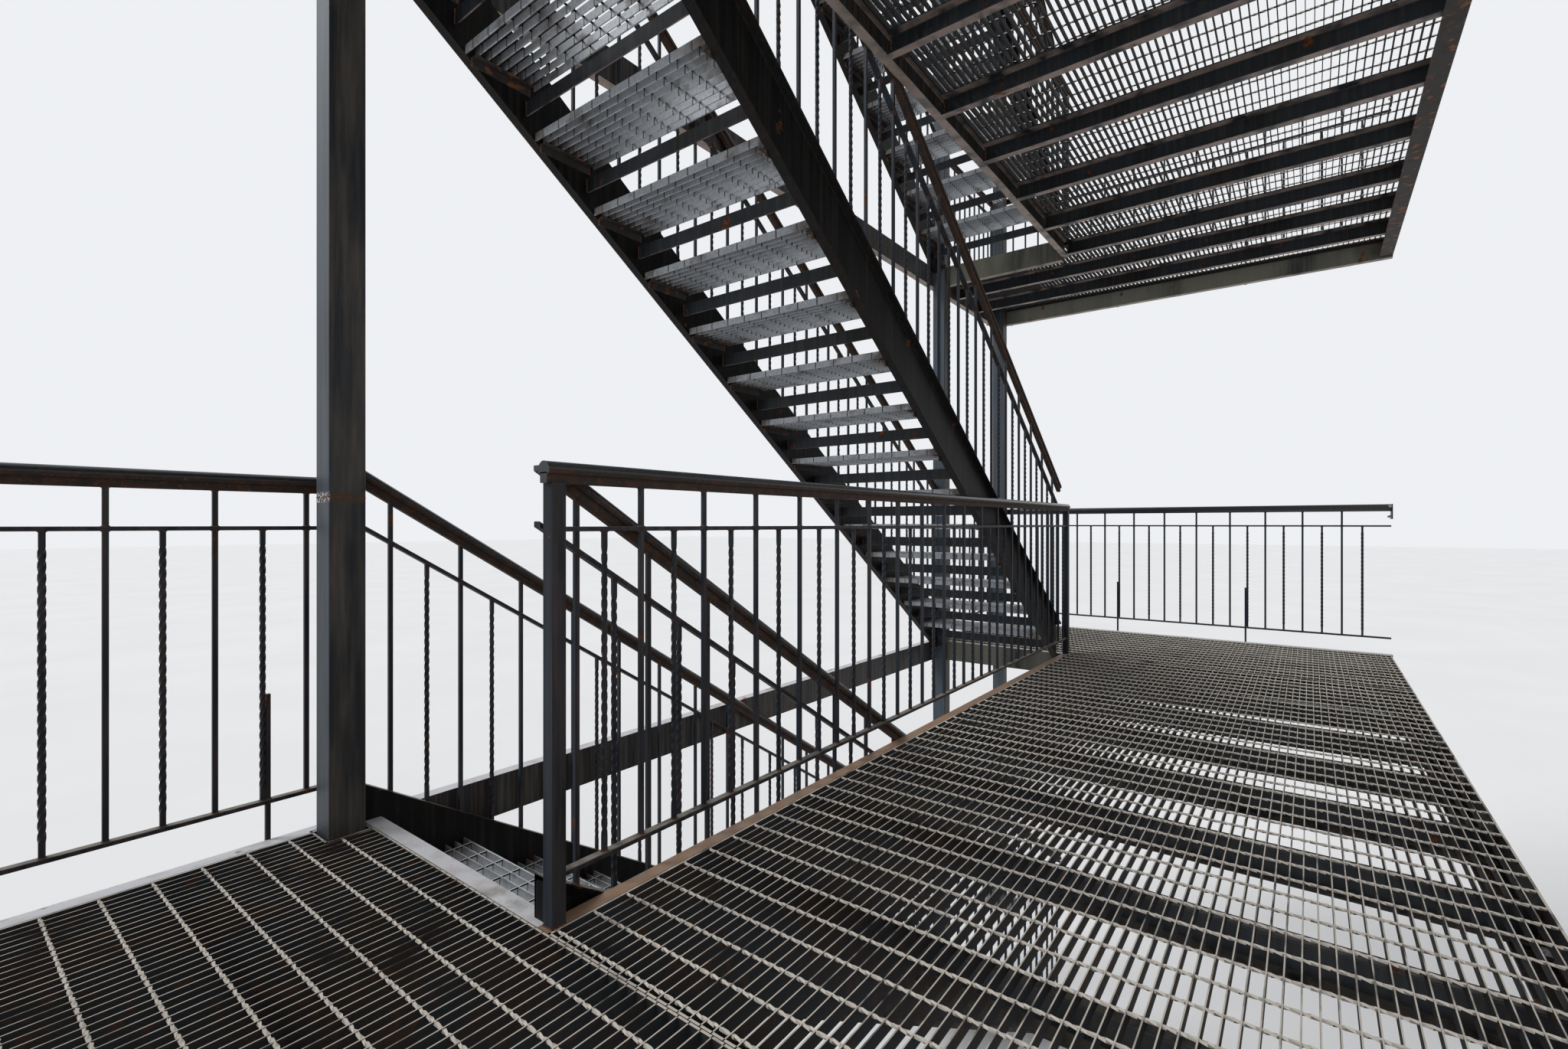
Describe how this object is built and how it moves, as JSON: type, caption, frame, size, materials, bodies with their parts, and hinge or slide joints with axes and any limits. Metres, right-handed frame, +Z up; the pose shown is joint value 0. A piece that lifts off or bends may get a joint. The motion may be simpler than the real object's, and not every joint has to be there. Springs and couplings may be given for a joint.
{
  "type": "fire escape stair",
  "caption": "Steel fire escape with three grated platforms on four posts, tied back to a wall, and straight flights stacked in one stairwell with railings.",
  "frame": {"origin": "underside of the base plate of the post at the head of the stair, on the ground, centred on that post", "axes": "+Z up; +Y from the outer post line towards the wall, whose face is at Y = 2.88 m; +X along the wall, the way the flights climb"},
  "size_m": [7.4046, 3.0099, 9.986],
  "materials": {
    "posts": "black paint on mill steel, satin, weathered with rust at the welds",
    "framing": "black paint on rolled steel channels, dusty, with brown rust",
    "guard_rails": "satin black paint with brown rust bloom",
    "floor_grating": "dark weathered steel with worn bar tops",
    "galvanised_treads": "dull galvanised steel"
  },
  "bodies": {
    "root": {"near_end_post": "posts", "stair_head_post": "posts", "stair_foot_post": "posts", "far_end_post": "posts", "base_plates": "posts", "level_1_long_beams": "framing", "level_1_cross_beams": "framing", "level_1_joists": "framing", "level_1_near_grating": "floor_grating", "level_1_walk_grating": "floor_grating", "level_1_far_grating": "floor_grating", "level_1_outer_guards": "guard_rails", "level_1_end_guards": "guard_rails", "level_1_well_guard": "guard_rails", "level_2_long_beams": "framing", "level_2_cross_beams": "framing", "level_2_joists": "framing", "level_2_near_grating": "floor_grating", "level_2_walk_grating": "floor_grating", "level_2_far_grating": "floor_grating", "level_2_outer_guards": "guard_rails", "level_2_end_guards": "guard_rails", "level_2_well_guard": "guard_rails", "level_3_long_beams": "framing", "level_3_cross_beams": "framing", "level_3_joists": "framing", "level_3_near_grating": "floor_grating", "level_3_walk_grating": "floor_grating", "level_3_far_grating": "floor_grating", "level_3_outer_guards": "guard_rails", "level_3_end_guards": "guard_rails", "level_3_well_guard": "guard_rails", "level_3_foot_guard": "guard_rails", "flight_1_stringers": "framing", "flight_1_treads": "galvanised_treads", "flight_1_riser_bars": "framing", "flight_1_rails": "guard_rails", "flight_2_stringers": "framing", "flight_2_treads": "galvanised_treads", "flight_2_riser_bars": "framing", "flight_2_rails": "guard_rails", "flight_3_stringers": "framing", "flight_3_treads": "galvanised_treads", "flight_3_riser_bars": "framing", "flight_3_rails": "guard_rails"}
  },
  "joints": []
}
